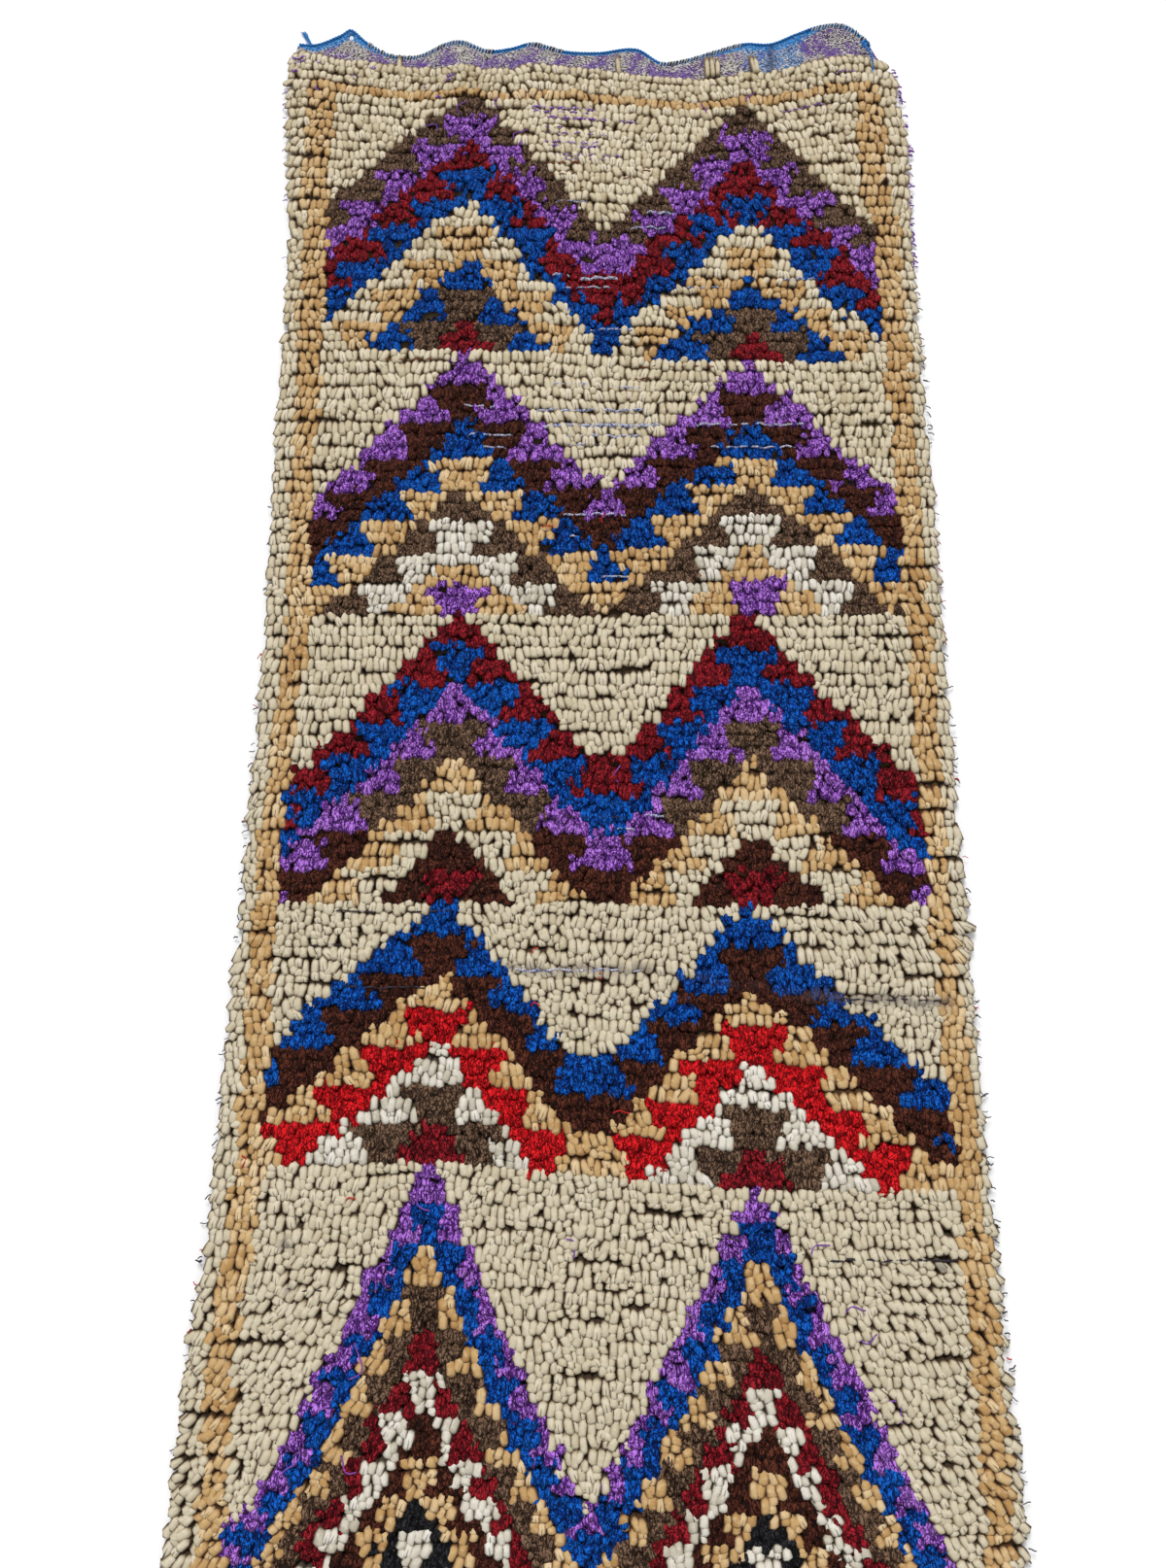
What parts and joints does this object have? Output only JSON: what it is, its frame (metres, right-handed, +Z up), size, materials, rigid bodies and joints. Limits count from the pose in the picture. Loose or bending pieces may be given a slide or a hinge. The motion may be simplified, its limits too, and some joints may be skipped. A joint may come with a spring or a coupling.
{
  "type": "azilal rug",
  "caption": "Long narrow hand-knotted wool rug lying flat, pile up, with zigzag bands in coloured yarn, a flatwoven end at each end and a twined cord along one of them.",
  "frame": {"origin": "middle of the rug's footprint, on the surface that it lies on", "axes": "+Z up out of the pile; +Y along the rug, towards the end with the blue twined cord; +X across it, to the right as seen from the plain end"},
  "size_m": [0.8728, 2.2508, 0.0214],
  "materials": {
    "cream_wool": "thick soft wool yarn in rounded cut tufts, matte",
    "gold_wool": "wool yarn dyed a pale gold, small rounded tufts, matte",
    "mid_brown_wool": "undyed brown wool, fuzzy and matte",
    "dark_brown_wool": "dark brown wool, fuzzy and matte",
    "purple_yarn": "fine curly purple yarn with a slight sheen",
    "blue_yarn": "fine curly deep blue yarn",
    "dark_red_yarn": "fine curly dark red yarn",
    "bright_red_yarn": "smooth bright red yarn",
    "black_wool": "black wool, matte",
    "white_wool": "white wool in small rounded tufts, matte",
    "flatweave": "plain weave of cream warp and purple, grey and white weft, matte",
    "cord_yarn": "bright blue plied yarn, twined, with white oblique stitches"
  },
  "bodies": {
    "root": {"rug_body": "cream_wool", "top_edge_cord": "cord_yarn", "left_corner_fray": "cord_yarn", "right_corner_knot": "cord_yarn"}
  },
  "joints": []
}
